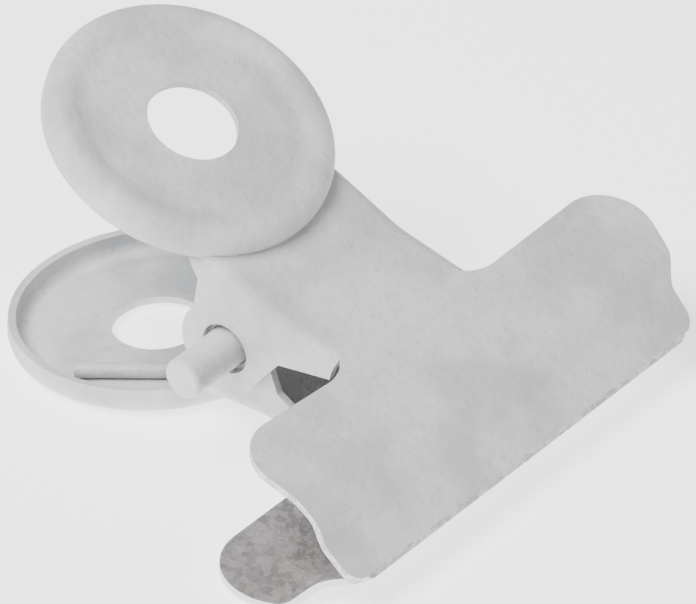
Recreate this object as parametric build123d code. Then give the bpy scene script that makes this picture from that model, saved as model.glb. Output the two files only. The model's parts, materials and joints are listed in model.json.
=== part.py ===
"""Small hinged spring clip of the bulldog type, with two round dished finger pads.

Millimetres.  X runs along the hinge pin, +Y points out of the jaws, +Z is up, and the clip rests on
its lower blade as it does on a bench.  The blades are drawn in the clip's own middle plane, with the
pin at the origin, and are tipped into the resting position at the end.
"""
import math
import os

from build123d import *

# ---- overall sizes ---------------------------------------------------------------------------
jaw_width = 32.0            # across the jaws, before the long end of each wing
jaw_reach = 17.8            # pin centre to the front edge
pad_reach = 8.6             # pin centre back to the pad centre
pad_height = 8.15           # middle of the pad above the middle plane, at its outer face
pad_tilt = 14.0             # lean of each pad, degrees
sheet = 0.45                # thickness of both pressed blades

# ---- finger pads -----------------------------------------------------------------------------
pad_radius = 8.75
pad_hole_radius = 2.75
pad_recess = 0.3            # how far the middle of the pad lies below the crest of its rim
pad_step_radius = 1.7       # the two soft bends between them
pad_edge_radius = 1.1       # outer radius of the turned rim
pad_curl = 98.0             # how far the rim is turned, degrees
pad_wall = 0.6              # straight length left at the foot of the rim

# ---- neck and ears ---------------------------------------------------------------------------
neck_half_width = 6.2       # outer faces of the outer ears
neck_height = 4.15          # outer face of the neck above the pin
neck_slope = 2.2            # fall of the neck towards the jaws, degrees
pad_rise = 1.25             # pad face above the neck behind it, square to the pad
neck_flare = 0.3            # how far the neck spreads where it runs into the pad
flare_start = 0.9           # where that spread begins, behind the pin
neck_bend_radius = 3.0
fold_radius = 1.15          # outer radius of the folds beside the neck
ear_play = 0.15             # sideways gap between an inner and an outer ear
ear_lobe_radius = 2.85
ear_lobe_offset = 0.25      # the lobes sit a little behind the pin
waist_back = 2.55           # back edge of the ears, behind the pin
arch_start = 3.75           # front of the ear where the relief arch begins
outer_hole_play = 0.35      # between the pin and the holes in the outer ears, all round
inner_hole_play = 0.07
outer_hole_shift = 0.12     # the spring lifts the outer ears a little on the pin

# ---- jaw plates ------------------------------------------------------------------------------
wing_back = 8.4             # back edge of the wings, ahead of the pin
short_end_sweep = 0.85      # how far that edge trails back at the short end
long_end_sweep = 0.15       # and at the long end
wing_corner_radius = 2.8
wing_root_radius = 1.9
root_inset = 0.3            # the blank's straight root lies this far inside the folds
upper_overhang = 1.55       # reach of the rounded long end beyond half the jaw width
upper_end_radius = 2.9      # rounding of that end
lower_overhang = 2.5        # the same two, on the lower blade
lower_end_radius = 3.7
long_end_taper = 0.47       # the long end narrows this much for each mm towards the crease
short_end_waist = 0.1       # the short end is this much inside half the jaw width
short_end_spread = 1.95     # the short end starts to spread to the lip this far behind the first crease
crease_run = 0.95           # from the first, convex crease to the second, concave one
lip_run = 2.3               # from the second crease to the front edge
upper_lip_inset = 0.3       # each end of the lip is this much inside half the jaw width
upper_lip_shift = 0.65      # the upper lip sits this far towards the short end
lower_lip_inset = 1.0       # the lower lip is narrower and sits in the middle
lip_rise = 1.3              # rise of the lip from its front edge to the second crease
crease_rise = 1.4           # height of the steep band between the creases
crease_radius = 1.1
front_corner_radius = 1.1
jaw_gap = 0.04              # daylight left between the closed lips
upper_forward = 0.1         # the upper blade sits a little ahead, within the play of its holes

# ---- pin and spring --------------------------------------------------------------------------
pin_radius = 1.25
pin_near = 10.0             # the two ends of the pin, each from the middle of the clip
pin_far = 8.0
pin_end_round = 0.3
wire_radius = 0.45
coil_play = 0.18            # between the pin and the inside of the coil
coil_end_play = 0.8         # between the coil and each inner ear
leg_tip_past = 0.7          # leg tips, behind the pad centre
leg_tip_inset = 1.75        # and this far inside the pad's edge
leg_knee_run = 2.62         # from the coil back to where a leg reaches the pad and starts to spread
leg_play = 0.04             # between a leg and the pad it lies on

# ---- worked out from the sizes above ---------------------------------------------------------
inner_half_width = neck_half_width - sheet - ear_play
half_jaw = jaw_width / 2
outer_hole_radius = pin_radius + outer_hole_play
inner_hole_radius = pin_radius + inner_hole_play
second_crease = jaw_reach - lip_run
first_crease = second_crease - crease_run
short_end_flare = first_crease - short_end_spread
lip_angle = math.atan2(lip_rise, jaw_reach - second_crease)
lip_height = sheet * math.cos(lip_angle) + jaw_gap / 2
crease_height = lip_height + lip_rise
wing_height = crease_height + crease_rise
coil_radius = pin_radius + coil_play + wire_radius
half_coil = inner_half_width - sheet - wire_radius - coil_end_play
leg_knee_back = coil_radius + leg_knee_run
leg_tip_back = pad_reach + leg_tip_past
leg_tip_out = pad_radius - leg_tip_inset


def yz_face(points):
    """Face in the YZ plane from (y, z) points."""
    return make_face(Polyline(*[(0, y, z) for y, z in points], close=True))


def prism_x(face, half_length):
    """Prism of a YZ face, equally to both sides."""
    return extrude(face, amount=half_length, dir=(1, 0, 0), both=True)


def prism_z(face, low, high):
    """Upright prism of an XY face."""
    return Pos(0, 0, low) * extrude(face, amount=high - low, dir=(0, 0, 1))


def front_slope(y):
    """Height of the neck's outer face ahead of its bend."""
    return neck_height - math.tan(math.radians(neck_slope)) * y


def back_slope(y):
    """Height of the neck's outer face behind its bend, where it runs parallel to the pad."""
    tilt = math.radians(pad_tilt)
    return pad_height - pad_rise / math.cos(tilt) - math.tan(tilt) * (y + pad_reach)


def neck_bend():
    """Where the two slopes meet, ahead of the pin."""
    fall = math.tan(math.radians(pad_tilt)) - math.tan(math.radians(neck_slope))
    return (back_slope(0) - neck_height) / fall


def shifted(points, depth):
    """The same bent line, moved square to itself by a depth."""
    lines = []
    for (ya, za), (yb, zb) in zip(points, points[1:]):
        run = math.hypot(yb - ya, zb - za)
        ny, nz = (zb - za) / run * depth, -(yb - ya) / run * depth
        lines.append(((ya + ny, za + nz), (yb + ny, zb + nz)))
    middle = [crossing(a, b, c, d) for (a, b), (c, d) in zip(lines, lines[1:])]
    return [lines[0][0]] + middle + [lines[-1][1]]


def bent_sheet(points, radii):
    """Face of a bent sheet: outer line through the points, inner line one thickness below."""
    inner = shifted(points, sheet)
    face = yz_face(list(points) + inner[::-1])
    for corners in (points, inner):
        for (y, z), radius in zip(corners[1:-1], radii):
            vertex = min(face.vertices(), key=lambda v: math.hypot(v.Y - y, v.Z - z))
            face = fillet(vertex, radius)
    return face


def crossing(a, b, c, d):
    """Point where line ab meets line cd."""
    ry, rz = b[0] - a[0], b[1] - a[1]
    sy, sz = d[0] - c[0], d[1] - c[1]
    k = ((c[0] - a[0]) * sz - (c[1] - a[1]) * sy) / (ry * sz - rz * sy)
    return (a[0] + k * ry, a[1] + k * rz)


def jaw_outline(half_width, overhang, end_radius, lip_short, lip_long):
    """Corners of the T-shaped blank in plan, from the short end's root round to the long end's,
    each with its radius.  The long end is on the -X side."""
    root = half_width - fold_radius - root_inset
    root_radius = wing_root_radius + (fold_radius + root_inset) * 0.5
    short_back = wing_back - short_end_sweep
    long_back = wing_back - long_end_sweep
    short = half_jaw - short_end_waist
    lead = end_radius * (math.hypot(1, long_end_taper) + long_end_taper - 1)
    long_corner = half_jaw + overhang + lead
    long_crease = long_corner - long_end_taper * (first_crease - long_back)
    return [
        (root, neck_bend(), 0),
        (root, wing_back, root_radius),
        (half_jaw, short_back, wing_corner_radius),
        (short, short_end_flare, 1.5),
        (lip_short, first_crease, 1.5),
        (lip_short, jaw_reach, front_corner_radius),
        (-lip_long, jaw_reach, front_corner_radius),
        (-lip_long - (long_crease - lip_long) * 0.3, second_crease, 1.5),
        (-long_crease, first_crease, 1.5),
        (-long_corner, long_back, end_radius),
        (-root, wing_back, root_radius),
        (-root, neck_bend(), 0),
    ]


def jaw_plate(half_width, overhang, end_radius, lip_short, lip_long):
    """Neck web, wings, creases and lip: one bent sheet trimmed to the T-shaped outline."""
    line = [
        (-waist_back - 2, back_slope(-waist_back - 2)),
        (neck_bend(), back_slope(neck_bend())),
        (wing_back, front_slope(wing_back)),
        (first_crease, wing_height),
        (second_crease, crease_height),
        (jaw_reach, lip_height),
    ]
    bends = (neck_bend_radius, 6.0, crease_radius, crease_radius)
    plate = prism_x(bent_sheet(line, bends), half_jaw + overhang + 2)
    outline = jaw_outline(half_width, overhang, end_radius, lip_short, lip_long)
    shape = make_face(Polyline(*[(x, y, 0) for x, y, radius in outline], close=True))
    for x, y, radius in outline:
        if radius:
            corner = min(shape.vertices(), key=lambda v: math.hypot(v.X - x, v.Y - y))
            shape = fillet(corner, radius)
    root = outline[0][0]
    flare_x, flare_y = half_width + neck_flare, -waist_back - 1.6
    web = Polyline(
        (-root, neck_bend() + 1, 0), (root, neck_bend() + 1, 0), (root, -flare_start, 0),
        (flare_x, flare_y, 0), (-flare_x, flare_y, 0), (-root, -flare_start, 0), close=True,
    )
    trim = prism_z(shape, -2, neck_height + 4) + prism_z(make_face(web), 1, neck_height + 4)
    return plate & trim


def ear_outline(front_reach):
    """Side outline of neck and ears: lobe round the pin, straight front edge, relief arch."""
    top = back_slope(-waist_back - 2) + 1
    slope_x, slope_z = 1.7, 3.1
    run = math.hypot(slope_x, slope_z)
    touch_y = -ear_lobe_offset + ear_lobe_radius * slope_z / run
    touch_z = -ear_lobe_radius * slope_x / run
    arch_z = touch_z + (arch_start - touch_y) * slope_z / slope_x
    under = front_slope(front_reach) - fold_radius - 0.05
    body = yz_face([
        (-waist_back, -0.2),
        (touch_y, touch_z),
        (arch_start, arch_z),
        (front_reach, under),
        (front_reach, top),
        (-waist_back - 1.2, top),
        (-waist_back - 1.2, back_slope(-waist_back - 1.2) - sheet),
        (-waist_back, back_slope(-waist_back) - 1.5),
    ])
    arch = min(body.vertices(), key=lambda v: math.hypot(v.Y - arch_start, v.Z - arch_z))
    body = fillet(arch, 0.25)
    lobe = Plane.YZ * Pos(-ear_lobe_offset, 0) * Circle(ear_lobe_radius)
    return prism_x(body, half_jaw) + prism_x(lobe, half_jaw)


def neck_block(half_width, depth, fold, overrun):
    """Solid under the neck's outer line, its long upper edges rounded by the fold radius."""
    back, bend, front = -waist_back - 2 - overrun, neck_bend(), wing_back + overrun
    line = [(back, back_slope(back)), (bend, back_slope(bend)), (front, front_slope(front))]
    top = shifted(line, depth)
    face = yz_face(top + [(front, -9), (back, -9)])
    corner = min(face.vertices(), key=lambda v: math.hypot(v.Y - top[1][0], v.Z - top[1][1]))
    block = prism_x(fillet(corner, neck_bend_radius), half_width)
    low = front_slope(front) - depth - 0.5
    folds = [e for e in block.edges() if abs(abs(e.center().X) - half_width) < 1e-4
             and e.center().Z > low and abs((e % 0.5).Z) < 0.9]
    return fillet(folds, fold)


def neck_and_ears(half_width, hole_radius, hole_shift):
    """Folded neck with its two ears and their pin holes."""
    body = neck_block(half_width, 0, fold_radius, 0)
    body = body - neck_block(half_width - sheet, sheet, fold_radius - sheet, 1.0)
    body = body & ear_outline(wing_back - wing_root_radius * 0.55)
    hole = Plane.YZ * Pos(*hole_shift) * Circle(hole_radius)
    return body - prism_x(hole, half_jaw)


def pad_line(shift):
    """Half outline of the pad, hole to rim, at a given depth into the sheet."""
    swing = math.acos(1 - pad_recess / (2 * pad_step_radius))
    curl = math.radians(pad_curl)
    crest_x = pad_radius - pad_edge_radius
    step_x = crest_x - 2 * pad_step_radius * math.sin(swing)
    edge = pad_edge_radius - shift

    def rising(angle):
        radius = pad_step_radius + shift
        return (step_x + radius * math.sin(angle), pad_step_radius - radius * math.cos(angle))

    def levelling(angle):
        radius = pad_step_radius - shift
        centre_z = pad_recess - pad_step_radius
        return (crest_x - radius * math.sin(angle), centre_z + radius * math.cos(angle))

    def turned(angle):
        centre_z = pad_recess - pad_edge_radius
        return (crest_x + edge * math.sin(angle), centre_z + edge * math.cos(angle))

    rim_x, rim_z = turned(curl)
    foot = (rim_x + pad_wall * math.cos(curl), rim_z - pad_wall * math.sin(curl))
    return [
        Line((pad_hole_radius, -shift), (step_x, -shift)),
        ThreePointArc(rising(0), rising(swing / 2), rising(swing)),
        ThreePointArc(levelling(swing), levelling(swing / 2), levelling(0)),
        ThreePointArc(turned(0), turned(curl / 2), turned(curl)),
        Line((rim_x, rim_z), foot),
    ]


def pad_section():
    """Half section of the dished pad: flat, soft shoulder and curled rim."""
    outer = pad_line(0)
    inner = pad_line(sheet)
    hole = Line(outer[0] @ 0, inner[0] @ 0)
    foot = Line(outer[-1] @ 1, inner[-1] @ 1)
    return make_face(outer + inner + [hole, foot])


def on_pad(shape):
    """Set a shape drawn on the pad's own axis into its place above the middle plane."""
    return Pos(0, -pad_reach, pad_height) * Rot(-pad_tilt, 0, 0) * shape


def pad():
    """Dished finger pad with its hole."""
    return on_pad(revolve(Plane.XZ * pad_section(), axis=Axis.Z))


def pad_hollow():
    """The room inside the dish and just below it, kept clear of the neck."""
    line = pad_line(sheet)
    foot = line[-1] @ 1
    low = foot.Y - 1.2
    ring = Line((pad_hole_radius, -sheet), (0, -sheet))
    sides = [Line((0, -sheet), (0, low)), Line((0, low), (foot.X, low)), Line((foot.X, low), foot)]
    return on_pad(revolve(Plane.XZ * make_face(line + [ring] + sides), axis=Axis.Z))


def blade(half_width, hole_radius, hole_shift, jaw):
    """One complete blade, outer face up."""
    neck = jaw + neck_and_ears(half_width, hole_radius, hole_shift)
    return (neck - pad_hollow()) + pad()


def upper_blade():
    """Outer blade, a little ahead of the pin within the play of its holes."""
    half_lip = half_jaw - upper_lip_inset
    lip_short, lip_long = half_lip + upper_lip_shift, half_lip - upper_lip_shift
    jaw = jaw_plate(neck_half_width, upper_overhang, upper_end_radius, lip_short, lip_long)
    body = blade(neck_half_width, outer_hole_radius, (0, outer_hole_shift), jaw)
    return Pos(0, upper_forward, 0) * body


def lower_blade():
    """Inner blade, turned over, so that its long wing end lies under the upper one's short end."""
    half_lip = half_jaw - lower_lip_inset
    jaw = jaw_plate(inner_half_width, lower_overhang, lower_end_radius, half_lip, half_lip)
    return Rot(0, 180, 0) * blade(inner_half_width, inner_hole_radius, (0, 0), jaw)


def hinge_pin():
    """Plain rod with softened ends."""
    rod = Cylinder(pin_radius, pin_near + pin_far)
    rod = fillet(rod.edges().filter_by(GeomType.CIRCLE), pin_end_round)
    return Pos((pin_near - pin_far) / 2, 0, 0) * Rot(0, 90, 0) * rod


def rod_between(start, end, radius):
    """Round bar from one point to another."""
    along = Vector(*end) - Vector(*start)
    return extrude(Plane(origin=start, z_dir=along) * Circle(radius), amount=along.length)


def on_lower_pad(back):
    """Height of a leg's centre line where it lies on the lower pad."""
    tilt = math.radians(pad_tilt)
    face = pad_height + math.tan(tilt) * (back - pad_reach)
    return (sheet + wire_radius + leg_play) / math.cos(tilt) - face


def torsion_spring():
    """Coil round the pin, its near leg bearing on the lower pad and its far leg on the upper."""
    knee_z = on_lower_pad(leg_knee_back)
    knee_angle = math.atan2(knee_z, -leg_knee_back)
    start = knee_angle + math.acos(coil_radius / math.hypot(leg_knee_back, knee_z))
    part_turn = -2 * start / (2 * math.pi) % 1
    loops = math.floor(2 * half_coil / (2.1 * wire_radius) - part_turn)
    pitch = 2 * half_coil / (loops + part_turn)
    leave = Vector(half_coil, coil_radius * math.cos(start), coil_radius * math.sin(start))
    knee = Vector(half_coil, -leg_knee_back, knee_z)
    tip = Vector(leg_tip_out, -leg_tip_back, on_lower_pad(leg_tip_back))
    spiral = Plane(origin=(half_coil, 0, 0), x_dir=(0, leave.Y, leave.Z), z_dir=(-1, 0, 0)) * Helix(
        pitch=pitch, height=2 * half_coil, radius=coil_radius, lefthand=True)
    section = Plane(origin=spiral @ 0, z_dir=spiral % 0) * Circle(wire_radius)
    coil = sweep(section, path=spiral, is_frenet=True)
    leg = rod_between(leave, knee, wire_radius) + Pos(knee) * Sphere(wire_radius * 1.01)
    leg = leg + rod_between(knee, tip, wire_radius) + Pos(leave) * Sphere(wire_radius * 1.02)
    return coil + leg + Rot(0, 180, 0) * leg


def rest_angle():
    """Lean of the line under the lower blade, from the back of its pad's rim to its first crease."""
    tilt = math.radians(pad_tilt)
    crest = pad_radius - pad_edge_radius
    back_y = -pad_reach - crest * math.cos(tilt) + pad_recess * math.sin(tilt)
    back_z = -pad_height - crest * math.sin(tilt) - pad_recess * math.cos(tilt)
    return math.degrees(math.atan2(-wing_height - back_z, first_crease - back_y))


def build():
    """All four pieces, resting on the lower blade and centred on the origin."""
    pieces = {
        "upper_blade": upper_blade(),
        "lower_blade": lower_blade(),
        "hinge_pin": hinge_pin(),
        "torsion_spring": torsion_spring(),
    }
    pieces = {name: Rot(-rest_angle(), 0, 0) * piece for name, piece in pieces.items()}
    boxes = [piece.bounding_box() for piece in pieces.values()]
    back = min(box.min.Y for box in boxes)
    front = max(box.max.Y for box in boxes)
    bottom = min(box.min.Z for box in boxes)
    move = Pos(0, -(back + front) / 2, -bottom)
    return {name: move * piece for name, piece in pieces.items()}


if __name__ == "__main__":
    os.makedirs("parts", exist_ok=True)
    for name, piece in build().items():
        export_step(piece, f"parts/{name}.step")
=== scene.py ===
"""A small hinged spring clip, sprayed off-white: its finishes, the bench, the light and the camera."""
import json
import math

import bmesh
import bpy
from mathutils import Matrix, Vector

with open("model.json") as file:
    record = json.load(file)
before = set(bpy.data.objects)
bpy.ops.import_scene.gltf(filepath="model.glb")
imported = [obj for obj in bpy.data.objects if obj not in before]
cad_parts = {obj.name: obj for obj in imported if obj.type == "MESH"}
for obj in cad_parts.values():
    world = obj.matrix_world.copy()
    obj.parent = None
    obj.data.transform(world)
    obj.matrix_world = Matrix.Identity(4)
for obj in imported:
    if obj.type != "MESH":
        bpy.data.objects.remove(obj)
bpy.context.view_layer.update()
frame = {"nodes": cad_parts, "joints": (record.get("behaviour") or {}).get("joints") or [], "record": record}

MM = 0.001
record = frame["record"]
joints = {joint["name"]: joint for joint in frame["joints"]}
mounts = {mount["name"]: mount for mount in record["mounts"]}
pin_axis = Vector(joints["jaw_hinge"]["pos_m"])
forward = Vector(mounts["jaw_lips"]["axis"])
lean = math.atan2(forward.z, forward.y)


# ---- node helpers ----------------------------------------------------------------------------
class Finish:
    """A material under construction, with short ways to add and join its nodes."""

    def __init__(self, name):
        self.material = bpy.data.materials.new(name)
        self.material.use_nodes = True
        self.tree = self.material.node_tree
        self.tree.nodes.clear()
        self.output = self.add("ShaderNodeOutputMaterial")
        self.shader = self.add("ShaderNodeBsdfPrincipled")
        self.join(self.shader.outputs["BSDF"], self.output.inputs["Surface"])

    def add(self, kind, **settings):
        node = self.tree.nodes.new(kind)
        for key, value in settings.items():
            setattr(node, key, value)
        return node

    def join(self, source, target):
        self.tree.links.new(source, target)

    def feed(self, socket, value):
        if isinstance(value, bpy.types.NodeSocket):
            self.join(value, socket)
        else:
            socket.default_value = value

    def clip_space(self):
        """Millimetres from the pin, Y out of the jaws and Z square to the jaws' middle plane."""
        place = self.add("ShaderNodeTexCoord")
        turn = self.add("ShaderNodeMapping", vector_type="TEXTURE")
        turn.inputs["Location"].default_value = pin_axis
        turn.inputs["Rotation"].default_value = (lean, 0, 0)
        turn.inputs["Scale"].default_value = (MM, MM, MM)
        self.join(place.outputs["Object"], turn.inputs["Vector"])
        return turn.outputs["Vector"]

    def facing(self, direction):
        """How far the surface faces a direction, from -1 to 1."""
        place = self.add("ShaderNodeTexCoord")
        dot = self.add("ShaderNodeVectorMath", operation="DOT_PRODUCT")
        self.join(place.outputs["Normal"], dot.inputs[0])
        dot.inputs[1].default_value = direction
        return dot.outputs["Value"]

    def parts(self, vector):
        split = self.add("ShaderNodeSeparateXYZ")
        self.join(vector, split.inputs[0])
        return split.outputs

    def noise(self, vector, scale, detail=3.0, roughness=0.55, distortion=0.0):
        node = self.add("ShaderNodeTexNoise")
        self.join(vector, node.inputs["Vector"])
        node.inputs["Scale"].default_value = scale
        node.inputs["Detail"].default_value = detail
        node.inputs["Roughness"].default_value = roughness
        node.inputs["Distortion"].default_value = distortion
        return node.outputs["Fac"]

    def cells(self, vector, scale, randomness=1.0, output="Distance"):
        node = self.add("ShaderNodeTexVoronoi")
        self.join(vector, node.inputs["Vector"])
        node.inputs["Scale"].default_value = scale
        node.inputs["Randomness"].default_value = randomness
        return node.outputs[output]

    def math(self, operation, first, second=0.0, clamp=False):
        node = self.add("ShaderNodeMath", operation=operation, use_clamp=clamp)
        self.feed(node.inputs[0], first)
        self.feed(node.inputs[1], second)
        return node.outputs[0]

    def spread(self, value, low, high, to_low=0.0, to_high=1.0):
        """Smooth step from one range to another."""
        node = self.add("ShaderNodeMapRange", interpolation_type="SMOOTHSTEP")
        self.feed(node.inputs["Value"], value)
        node.inputs["From Min"].default_value = low
        node.inputs["From Max"].default_value = high
        node.inputs["To Min"].default_value = to_low
        node.inputs["To Max"].default_value = to_high
        return node.outputs["Result"]

    def blend(self, share, first, second):
        """Colour between two colours."""
        node = self.add("ShaderNodeMix", data_type="RGBA")
        self.feed(node.inputs["Factor"], share)
        self.feed(node.inputs["A"], first)
        self.feed(node.inputs["B"], second)
        return node.outputs["Result"]

    def between(self, share, first, second):
        """Number between two numbers."""
        node = self.add("ShaderNodeMix", data_type="FLOAT")
        self.feed(node.inputs["Factor"], share)
        self.feed(node.inputs["A"], first)
        self.feed(node.inputs["B"], second)
        return node.outputs["Result"]

    def bump(self, height, distance, normal=None, strength=1.0):
        node = self.add("ShaderNodeBump")
        node.inputs["Strength"].default_value = strength
        node.inputs["Distance"].default_value = distance
        self.join(height, node.inputs["Height"])
        if normal is not None:
            self.join(normal, node.inputs["Normal"])
        return node.outputs["Normal"]


# ---- finishes --------------------------------------------------------------------------------
OUTWARD = Vector((0, -math.sin(lean), math.cos(lean)))   # square to the jaws' middle plane
PAINT_LIGHT = (0.66, 0.66, 0.655, 1)
PAINT_GREY = (0.50, 0.51, 0.525, 1)
PAINT_WARM = (0.69, 0.66, 0.62, 1)
ZINC_LIGHT = (0.52, 0.50, 0.49, 1)
ZINC_DARK = (0.27, 0.26, 0.255, 1)
BARE_EDGE = (0.74, 0.73, 0.71, 1)
GRIME = (0.12, 0.115, 0.11, 1)
PAINT_ROUGHNESS = 0.58
ROD_ROUGHNESS = 0.5
ZINC_ROUGHNESS = 0.42
PEEL_DEPTH = 0.09 * MM
GRAIN_DEPTH = 0.012 * MM
WORN_CORNER = 0.13 * MM                 # how far from a corner the paint is rubbed
BARE_FROM, BARE_BY = 8.2, 9.3           # the paint fades out here, ahead of the pin
NEAR_END_FROM, NEAR_END_BY = 13.0, 15.5  # the upper blade's rubbed end, from the middle


def paint_colour(finish, at):
    """Thin sprayed coat: cloudy, faintly speckled, with a few warm smudges."""
    cloud = finish.noise(at, 0.16, 3.0)
    colour = finish.blend(finish.spread(cloud, 0.38, 0.62), PAINT_GREY, PAINT_LIGHT)
    flecks = finish.noise(at, 1.6, 5.0, 0.7)
    colour = finish.blend(finish.spread(flecks, 0.50, 0.68, 0, 0.55), colour, PAINT_GREY)
    smudge = finish.spread(finish.noise(at, 0.45, 2.0, 0.4, 0.6), 0.62, 0.72, 0, 0.35)
    colour = finish.blend(smudge, colour, PAINT_WARM)
    specks = finish.spread(finish.cells(at, 1.1), 0.05, 0.085, 1, 0)
    few = finish.spread(finish.noise(at, 0.6, 1.0), 0.58, 0.66)
    share = finish.math("MULTIPLY", finish.math("MULTIPLY", specks, few), 0.5)
    return finish.blend(share, colour, GRIME)


def paint_relief(finish, at):
    """Orange peel over a fine grain."""
    peel = finish.noise(at, 1.9, 2.0, 0.5)
    grain = finish.noise(at, 7.0, 2.0, 0.6)
    return finish.bump(grain, GRAIN_DEPTH, finish.bump(peel, PEEL_DEPTH))


def zinc_colour(finish, at):
    """Mottled galvanised sheet, scuffed where it has rubbed."""
    flakes = finish.cells(at, 2.2, output="Color")
    tone = finish.parts(flakes)[0]
    blotch = finish.noise(at, 0.55, 5.0, 0.65, 0.8)
    fine = finish.noise(at, 4.5, 4.0, 0.75)
    flake_share = finish.math("MULTIPLY", tone, 0.22)
    blotch_share = finish.math("MULTIPLY", blotch, 0.62)
    mixed = finish.math("ADD", flake_share, blotch_share)
    mixed = finish.math("ADD", mixed, finish.math("MULTIPLY", fine, 0.35))
    return finish.blend(finish.spread(mixed, 0.36, 0.78), ZINC_DARK, ZINC_LIGHT)


def edge_wear(finish, at):
    """How near a corner the surface is, from 0 to 1, and the noise that breaks up its wear."""
    soft = finish.add("ShaderNodeBevel", samples=6)
    soft.inputs["Radius"].default_value = WORN_CORNER
    sharp = finish.add("ShaderNodeNewGeometry")
    dot = finish.add("ShaderNodeVectorMath", operation="DOT_PRODUCT")
    finish.join(soft.outputs["Normal"], dot.inputs[0])
    finish.join(sharp.outputs["Normal"], dot.inputs[1])
    corner = finish.spread(dot.outputs["Value"], 0.80, 0.97, 1, 0)
    broken = finish.noise(at, 2.6, 4.0, 0.7)
    return corner, broken


def blade_finish(name, side):
    """Sprayed outside, bare zinc inside the jaws; side is 1 for the upper blade, -1 for the lower."""
    finish = Finish(name)
    at = finish.clip_space()
    x, y = finish.parts(at)[:2]
    outward = finish.facing(OUTWARD * side)
    drift = finish.math("MULTIPLY", finish.noise(at, 0.8, 3.0), 1.6)
    ahead = finish.spread(finish.math("ADD", y, drift), BARE_FROM, BARE_BY)
    inner = finish.spread(outward, -0.55, -0.25, 1, 0)
    cut = finish.spread(finish.math("ABSOLUTE", outward), 0.22, 0.42, 1, 0)
    corner, broken = edge_wear(finish, at)
    if side > 0:
        near_end = finish.spread(x, NEAR_END_FROM, NEAR_END_BY)
        edge_bare = finish.math("MULTIPLY", finish.math("MULTIPLY", cut, near_end), ahead)
        edge_bare = finish.math("MULTIPLY", edge_bare, finish.spread(broken, 0.42, 0.56))
    else:
        edge_bare = finish.math("MULTIPLY", cut, ahead)
    bare = finish.math("MAXIMUM", finish.math("MULTIPLY", inner, ahead), edge_bare)
    worn = finish.math("MULTIPLY", corner, finish.spread(broken, 0.60, 0.70))
    bare = finish.math("MAXIMUM", bare, finish.math("MULTIPLY", worn, 0.7), clamp=True)
    metal = finish.blend(finish.math("MULTIPLY", cut, 0.92), zinc_colour(finish, at), BARE_EDGE)
    colour = finish.blend(bare, paint_colour(finish, at), metal)
    finish.join(colour, finish.shader.inputs["Base Color"])
    finish.join(finish.math("MULTIPLY", bare, 0.75), finish.shader.inputs["Metallic"])
    rough = finish.between(bare, PAINT_ROUGHNESS, ZINC_ROUGHNESS)
    finish.join(rough, finish.shader.inputs["Roughness"])
    finish.join(paint_relief(finish, at), finish.shader.inputs["Normal"])
    return finish.material


def rod_finish(name, painted_from):
    """Rod or wire, bare in the middle and sprayed from a distance to each side of it."""
    finish = Finish(name)
    at = finish.clip_space()
    corner, broken = edge_wear(finish, at)
    worn = finish.math("MULTIPLY", corner, finish.spread(broken, 0.52, 0.66))
    colour = finish.blend(finish.math("MULTIPLY", worn, 0.5), paint_colour(finish, at), ZINC_LIGHT)
    x = finish.parts(at)[0]
    hidden = finish.spread(finish.math("ABSOLUTE", x), painted_from - 0.5, painted_from, 1, 0)
    colour = finish.blend(finish.math("MULTIPLY", hidden, 0.8), colour, ZINC_DARK)
    finish.join(colour, finish.shader.inputs["Base Color"])
    finish.join(finish.math("MULTIPLY", hidden, 0.7), finish.shader.inputs["Metallic"])
    finish.shader.inputs["Roughness"].default_value = ROD_ROUGHNESS
    finish.join(paint_relief(finish, at), finish.shader.inputs["Normal"])
    return finish.material


def dress(node, material):
    """Give a CAD node its finish."""
    piece = frame["nodes"][node]
    piece.data.materials.clear()
    piece.data.materials.append(material)


dress("upper_blade", blade_finish("sprayed_upper_sheet", 1))
dress("lower_blade", blade_finish("sprayed_lower_sheet", -1))
dress("hinge_pin", rod_finish("sprayed_rod", 5.2))
dress("torsion_spring", rod_finish("spring_wire", 3.4))


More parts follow.
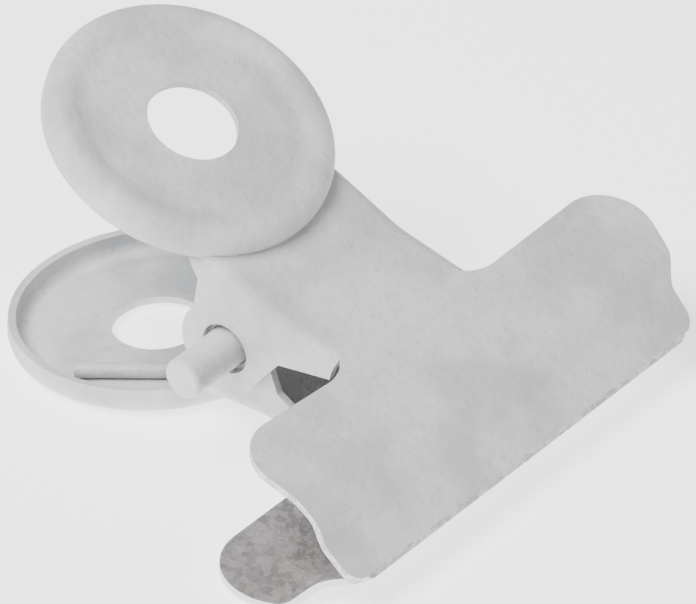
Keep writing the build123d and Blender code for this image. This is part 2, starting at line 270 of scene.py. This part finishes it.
# ---- bench, light and camera -----------------------------------------------------------------
def bench():
    """Plain white top that glows softly from within."""
    half_width = 0.6
    form = bmesh.new()
    bmesh.ops.create_grid(form, x_segments=1, y_segments=1, size=half_width)
    mesh = bpy.data.meshes.new("bench")
    form.to_mesh(mesh)
    form.free()
    top = bpy.data.objects.new("bench", mesh)
    bpy.context.scene.collection.objects.link(top)
    finish = Finish("white_bench")
    finish.shader.inputs["Base Color"].default_value = (0.95, 0.95, 0.95, 1)
    finish.shader.inputs["Roughness"].default_value = 0.9
    finish.shader.inputs["Emission Color"].default_value = (1, 1, 1, 1)
    finish.shader.inputs["Emission Strength"].default_value = 1.6
    mesh.materials.append(finish.material)


def lamp(name, azimuth, elevation, distance, size, power):
    """Square soft box aimed at the clip."""
    data = bpy.data.lights.new(name, "AREA")
    data.size = size
    data.energy = power
    lamp_object = bpy.data.objects.new(name, data)
    turn, lift = math.radians(azimuth), math.radians(elevation)
    away = Vector((math.sin(turn) * math.cos(lift), -math.cos(turn) * math.cos(lift), math.sin(lift)))
    lamp_object.location = away * distance
    lamp_object.rotation_euler = away.to_track_quat("Z", "Y").to_euler()
    bpy.context.scene.collection.objects.link(lamp_object)


def studio():
    """Even light from all round, and one large soft box above."""
    world = bpy.data.worlds.new("studio")
    world.use_nodes = True
    world.node_tree.nodes["Background"].inputs["Color"].default_value = (1, 1, 1, 1)
    world.node_tree.nodes["Background"].inputs["Strength"].default_value = 0.35
    bpy.context.scene.world = world
    lamp("key", azimuth=75, elevation=62, distance=0.5, size=0.3, power=4.6)


def camera():
    """Long lens, looking down on the jaws from their near end."""
    azimuth, elevation, roll = 130.85, 33.9, 4.04
    view_width, distance = 39.9 * MM, 1.0
    aim = pin_axis + Vector((-1.96, 2.62, -0.34)) * MM
    turn, lift = math.radians(azimuth), math.radians(elevation)
    away = Vector((math.sin(turn) * math.cos(lift), -math.cos(turn) * math.cos(lift), math.sin(lift)))
    data = bpy.data.cameras.new("camera")
    data.sensor_width = 36
    data.lens = data.sensor_width * distance / view_width
    data.clip_start, data.clip_end = 0.1, 5
    view = bpy.data.objects.new("camera", data)
    view.location = aim + away * distance
    view.rotation_mode = "QUATERNION"
    level = away.to_track_quat("Z", "Y")
    tilt = Matrix.Rotation(math.radians(-roll), 4, away).to_quaternion()
    view.rotation_quaternion = tilt @ level
    bpy.context.scene.collection.objects.link(view)
    bpy.context.scene.camera = view


bench()
studio()
camera()
